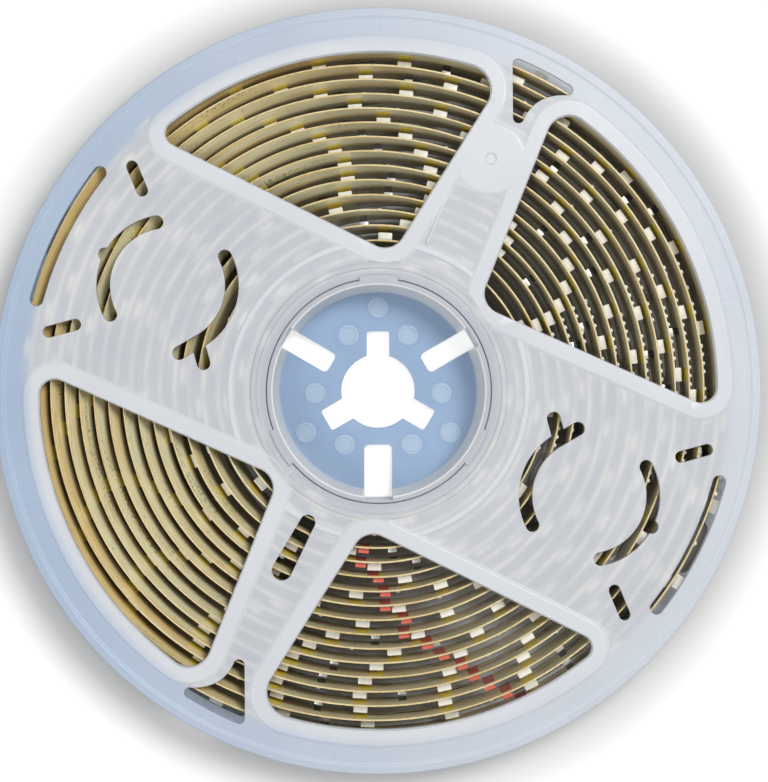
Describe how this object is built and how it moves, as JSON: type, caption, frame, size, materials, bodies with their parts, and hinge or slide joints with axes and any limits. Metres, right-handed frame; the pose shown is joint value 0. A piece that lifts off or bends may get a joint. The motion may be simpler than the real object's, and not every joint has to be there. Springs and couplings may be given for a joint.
{
  "type": "led strip light reel",
  "caption": "Flat round plastic reel with windowed flanges and a keyed hub, holding a spiral of LED strip light.",
  "frame": {"origin": "on the reel's axis, in the plane that the back flange rests on", "axes": "+Z along the reel's axis from the back flange to the front flange, +Y up and +X right as seen facing the front flange"},
  "size_m": [0.152, 0.1518, 0.0122],
  "materials": {
    "reel_back": "translucent moulded plastic, satin",
    "reel_front": "translucent moulded plastic, satin",
    "strip": "cream flexible circuit with white light packages"
  },
  "bodies": {
    "root": {"back_flange_and_hub": "reel_back", "front_flange": "reel_front", "led_strip": "strip"}
  },
  "joints": []
}
